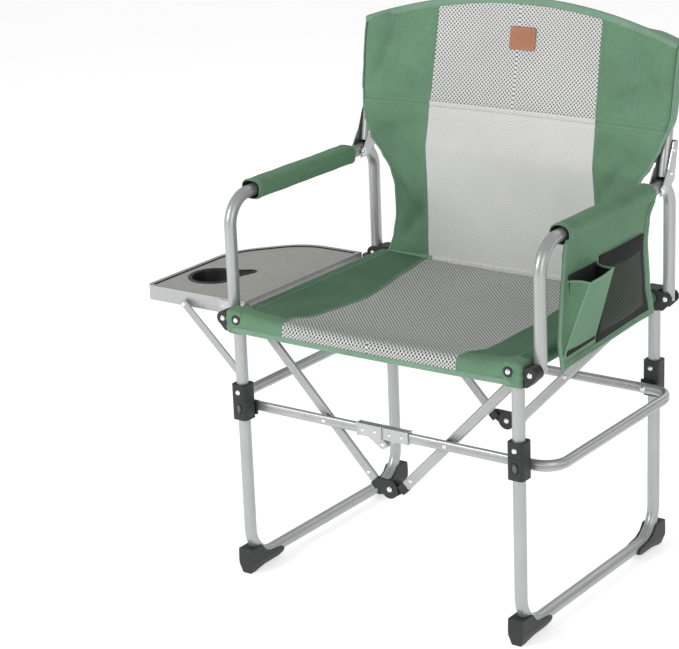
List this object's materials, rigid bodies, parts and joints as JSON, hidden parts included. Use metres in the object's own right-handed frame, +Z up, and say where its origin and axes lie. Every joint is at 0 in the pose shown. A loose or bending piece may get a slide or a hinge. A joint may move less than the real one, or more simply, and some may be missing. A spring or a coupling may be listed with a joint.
{
  "type": "folding camp chair",
  "caption": "Folding camp chair with U-shaped side frames, fold-away arms and back, a fabric seat, an arm pocket and a fold-down side table with a cup holder.",
  "frame": {"origin": "on the floor, under the middle of the box of the open chair with its table up", "axes": "+Z up, -Y the way the sitter faces, -X towards the side table"},
  "size_m": [0.7854, 0.4472, 0.857],
  "materials": {
    "frame_silver": "silver-grey powder paint, satin",
    "stamped_steel": "zinc-plated pressed steel",
    "black_plastic": "moulded nylon, fine matt grain",
    "green_fabric": "plain-weave polyester, bound edges",
    "mesh_fabric": "open grey spacer mesh",
    "table_board": "greige board with a fine linen grain",
    "table_trim": "silver aluminium edge profile",
    "leather_patch": "plain tan leather, blank"
  },
  "bodies": {
    "left_frame": {"leg_frame_left": "frame_silver", "foot_front_left": "black_plastic", "foot_rear_left": "black_plastic", "corner_bracket_front_left": "black_plastic", "corner_bracket_rear_left": "black_plastic", "stop_collar_front_left": "black_plastic", "stop_collar_rear_left": "black_plastic", "seat_rail_left": "frame_silver", "seat_panel": "mesh_fabric", "table_hinge": "stamped_steel"},
    "left_sliders": {"slider_front_left": "black_plastic", "slider_rear_left": "black_plastic"},
    "left_ring": {"ring_rail_left": "frame_silver", "ring_bar_front_left": "frame_silver", "ring_bar_rear_left": "frame_silver", "knuckle_front_left": "stamped_steel", "knuckle_rear_left": "stamped_steel"},
    "right_ring": {"ring_rail_right": "frame_silver", "ring_bar_front_right": "frame_silver", "ring_bar_rear_right": "frame_silver", "knuckle_front_right": "stamped_steel", "knuckle_rear_right": "stamped_steel"},
    "right_sliders": {"slider_front_right": "black_plastic", "slider_rear_right": "black_plastic"},
    "right_frame": {"leg_frame_right": "frame_silver", "foot_front_right": "black_plastic", "foot_rear_right": "black_plastic", "corner_bracket_front_right": "black_plastic", "corner_bracket_rear_right": "black_plastic", "stop_collar_front_right": "black_plastic", "stop_collar_rear_right": "black_plastic", "seat_rail_right": "frame_silver"},
    "left_braces": {"brace_front_left": "frame_silver", "brace_rear_left": "frame_silver", "hub_front_left": "black_plastic", "hub_rear_left": "black_plastic"},
    "right_braces": {"brace_front_right": "frame_silver", "brace_rear_right": "frame_silver", "hub_front_right": "black_plastic", "hub_rear_right": "black_plastic"},
    "left_arm": {"arm_tube_left": "frame_silver", "arm_pad_left": "green_fabric", "back_lock_left": "black_plastic"},
    "right_arm": {"arm_tube_right": "frame_silver", "arm_pad_right": "green_fabric", "back_lock_right": "black_plastic", "arm_pocket": "green_fabric"},
    "left_back": {"back_upright_left": "frame_silver", "back_bracket_left": "stamped_steel", "back_panel_left": "green_fabric"},
    "right_back": {"back_upright_right": "frame_silver", "back_bracket_right": "stamped_steel", "back_panel_right": "green_fabric"},
    "table": {"table_board": "table_board", "table_rim": "table_trim", "cup_holder": "black_plastic"},
    "table_strut": {"table_strut": "frame_silver"}
  },
  "joints": [
    {"name": "left_slide", "type": "slide", "parent": "left_frame", "child": "left_sliders", "axis": [0, 0, -1], "range_m": [0, 0.1838]},
    {"name": "fold", "type": "hinge", "parent": "left_sliders", "child": "left_ring", "pos_m": [-0.14725, -0.00364, 0.272], "axis": [0, -1, 0], "range_deg": [0, 90], "deforming": ["seat_panel", "back_panel_left", "back_panel_right", "arm_pocket"]},
    {"name": "ring_knuckle", "type": "hinge", "parent": "left_ring", "child": "right_ring", "pos_m": [0.09425, -0.00364, 0.2545], "axis": [0, 1, 0], "range_deg": [0, 180]},
    {"name": "right_ring_pivot", "type": "hinge", "parent": "right_ring", "child": "right_sliders", "pos_m": [0.33575, -0.00364, 0.272], "axis": [0, -1, 0], "range_deg": [0, 90]},
    {"name": "right_slide", "type": "slide", "parent": "right_sliders", "child": "right_frame", "axis": [0, 0, 1], "range_m": [0, 0.1838]},
    {"name": "left_brace_pivot", "type": "hinge", "parent": "left_frame", "child": "left_braces", "pos_m": [-0.14175, -0.00364, 0.404], "axis": [0, 1, 0], "range_deg": [0, 44.07]},
    {"name": "right_brace_pivot", "type": "hinge", "parent": "right_frame", "child": "right_braces", "pos_m": [0.33025, -0.00364, 0.404], "axis": [0, -1, 0], "range_deg": [0, 44.07]},
    {"name": "left_arm_flip", "type": "hinge", "parent": "left_frame", "child": "left_arm", "pos_m": [-0.17775, -0.00364, 0.418], "axis": [0, -1, 0], "range_deg": [0, 166]},
    {"name": "right_arm_flip", "type": "hinge", "parent": "right_frame", "child": "right_arm", "pos_m": [0.36625, -0.00364, 0.418], "axis": [0, 1, 0], "range_deg": [0, 172]},
    {"name": "left_back_hinge", "type": "hinge", "parent": "left_arm", "child": "left_back", "pos_m": [-0.17775, 0.15436, 0.6], "axis": [1, 0, 0], "range_deg": [0, 92]},
    {"name": "right_back_hinge", "type": "hinge", "parent": "right_arm", "child": "right_back", "pos_m": [0.36625, 0.15436, 0.6], "axis": [1, 0, 0], "range_deg": [0, 92]},
    {"name": "table_fold", "type": "hinge", "parent": "left_frame", "child": "table", "pos_m": [-0.18675, -0.00364, 0.413], "axis": [0, -1, 0], "range_deg": [0, 90]},
    {"name": "strut_swing", "type": "hinge", "parent": "table", "child": "table_strut", "pos_m": [-0.31075, -0.14764, 0.402], "axis": [0, 1, 0], "range_deg": [0, 153.3]}
  ],
  "couplings": [
    {"joint": "left_slide", "follows": "fold", "m_per_rad": 0.11701},
    {"joint": "ring_knuckle", "follows": "fold", "ratio": 2},
    {"joint": "right_ring_pivot", "follows": "fold", "ratio": 1},
    {"joint": "right_slide", "follows": "fold", "m_per_rad": 0.11701},
    {"joint": "left_brace_pivot", "follows": "fold", "ratio": 0.48967},
    {"joint": "right_brace_pivot", "follows": "fold", "ratio": 0.48967},
    {"joint": "left_arm_flip", "follows": "fold", "ratio": 1.8444},
    {"joint": "right_arm_flip", "follows": "fold", "ratio": 1.9111},
    {"joint": "left_back_hinge", "follows": "fold", "ratio": 1.0222},
    {"joint": "right_back_hinge", "follows": "fold", "ratio": 1.0222},
    {"joint": "table_fold", "follows": "fold", "ratio": 1},
    {"joint": "strut_swing", "follows": "fold", "ratio": 1.7033}
  ]
}
